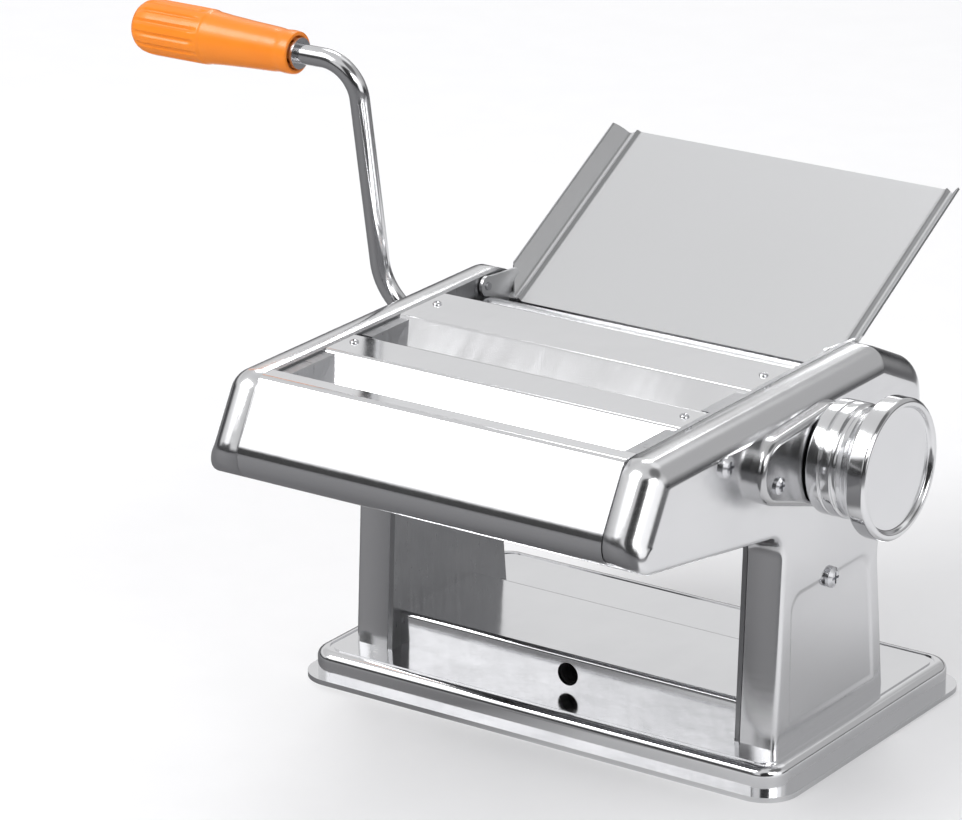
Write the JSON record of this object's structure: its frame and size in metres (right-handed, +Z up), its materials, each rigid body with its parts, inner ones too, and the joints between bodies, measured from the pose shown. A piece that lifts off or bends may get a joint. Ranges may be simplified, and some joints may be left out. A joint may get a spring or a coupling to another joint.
{
  "type": "hand cranked pasta machine",
  "caption": "Hand cranked machine that rolls dough between smooth rollers set by a side knob and cuts the sheet into strands, on a steel base with a tilting feed tray.",
  "frame": {"origin": "Centre of the flat underside of the base, on the surface the machine stands on.", "axes": "X runs across the machine along the rollers, +X towards the thickness knob and -X towards the crank; -Y is the front where the cutting rollers are; +Z is up."},
  "size_m": [0.3578, 0.2534, 0.2399],
  "materials": {
    "polished_steel": "polished",
    "brushed_steel": "brushed",
    "machined_steel": "machined",
    "bronze": "sintered",
    "orange_plastic": "semi-gloss",
    "spring_steel": "satin",
    "knob_metal": "polished"
  },
  "bodies": {
    "frame": {"base_plate": "polished_steel", "foot_screws": "machined_steel", "foot_nuts": "machined_steel", "base_rib": "machined_steel", "cross_platform": "polished_steel", "clamp_socket": "machined_steel", "side_plate_left": "machined_steel", "side_plate_right": "machined_steel", "cheek_left": "polished_steel", "cheek_right": "polished_steel", "cheek_pillars": "machined_steel", "cheek_screws": "machined_steel", "tie_rods": "machined_steel", "front_cover": "polished_steel", "rear_cover": "polished_steel", "ridge_plate_front": "polished_steel", "ridge_plate_rear": "polished_steel", "ridge_screws": "machined_steel", "feed_guides": "machined_steel", "roller_bushes": "bronze", "cutter_bushes": "bronze", "fine_comb_driven": "machined_steel", "fine_comb_mate": "machined_steel", "wide_comb_driven": "machined_steel", "wide_comb_mate": "machined_steel", "rear_scraper": "machined_steel", "scraper_rod": "machined_steel", "knob_seat": "polished_steel", "seat_screw": "machined_steel", "tray_studs": "machined_steel"},
    "carrier": {"bearing_left": "machined_steel", "bearing_right": "machined_steel", "cross_bar": "machined_steel", "front_scraper": "machined_steel"},
    "front_roller": {"moving_roller": "machined_steel", "moving_roller_gear": "machined_steel"},
    "drive": {"drive_roller": "machined_steel", "drive_roller_gear": "machined_steel", "crank_arm": "polished_steel", "crank_pin": "machined_steel", "grip_washer": "machined_steel"},
    "grip": {"crank_grip": "orange_plastic"},
    "fine_driven": {"fine_cutter_driven": "machined_steel", "fine_gear_driven": "machined_steel"},
    "fine_mate": {"fine_cutter_mate": "machined_steel", "fine_gear_mate": "machined_steel"},
    "wide_driven": {"wide_cutter_driven": "machined_steel", "wide_gear_driven": "machined_steel"},
    "wide_mate": {"wide_cutter_mate": "machined_steel", "wide_gear_mate": "machined_steel"},
    "selector": {"selector_spindle": "machined_steel", "knob_spring": "spring_steel"},
    "knob": {"selector_knob": "knob_metal", "detent_pin": "machined_steel"},
    "tray": {"feed_tray": "brushed_steel", "tray_ears": "brushed_steel"}
  },
  "joints": [
    {"name": "crank_turn", "type": "hinge", "parent": "frame", "child": "drive", "pos_m": [0, 0.0116, 0.122], "axis": [1, 0, 0], "continuous": true},
    {"name": "grip_spin", "type": "hinge", "parent": "drive", "child": "grip", "pos_m": [0, -0.00571, 0.22891], "axis": [1, 0, 0], "continuous": true},
    {"name": "roller_gap", "type": "slide", "parent": "frame", "child": "carrier", "axis": [0, -0.9981, -0.061], "range_m": [0, 0.0022]},
    {"name": "front_roller_turn", "type": "hinge", "parent": "carrier", "child": "front_roller", "pos_m": [0, -0.02064, 0.12003], "axis": [1, 0, 0], "continuous": true},
    {"name": "knob_turn", "type": "hinge", "parent": "frame", "child": "selector", "pos_m": [0, -0.02064, 0.12003], "axis": [1, 0, 0], "range_deg": [0, 180]},
    {"name": "knob_pull", "type": "slide", "parent": "selector", "child": "knob", "axis": [1, 0, 0], "range_m": [0, 0.004], "stiffness_N_per_m": 400, "deforming": ["knob_spring"]},
    {"name": "fine_driven_turn", "type": "hinge", "parent": "frame", "child": "fine_driven", "pos_m": [0, -0.0975, 0.121], "axis": [1, 0, 0], "continuous": true},
    {"name": "fine_mate_turn", "type": "hinge", "parent": "frame", "child": "fine_mate", "pos_m": [0, -0.1185, 0.121], "axis": [1, 0, 0], "continuous": true},
    {"name": "wide_driven_turn", "type": "hinge", "parent": "frame", "child": "wide_driven", "pos_m": [0, -0.0515, 0.121], "axis": [1, 0, 0], "continuous": true},
    {"name": "wide_mate_turn", "type": "hinge", "parent": "frame", "child": "wide_mate", "pos_m": [0, -0.0725, 0.121], "axis": [1, 0, 0], "continuous": true},
    {"name": "tray_tilt", "type": "hinge", "parent": "frame", "child": "tray", "pos_m": [0, 0.015, 0.142], "axis": [1, 0, 0], "range_deg": [0, 60]}
  ],
  "couplings": [
    {"joint": "front_roller_turn", "follows": "crank_turn", "ratio": -1},
    {"joint": "knob_turn", "follows": "roller_gap", "rad_per_m": 1428},
    {"joint": "fine_mate_turn", "follows": "fine_driven_turn", "ratio": -1},
    {"joint": "wide_mate_turn", "follows": "wide_driven_turn", "ratio": -1}
  ]
}
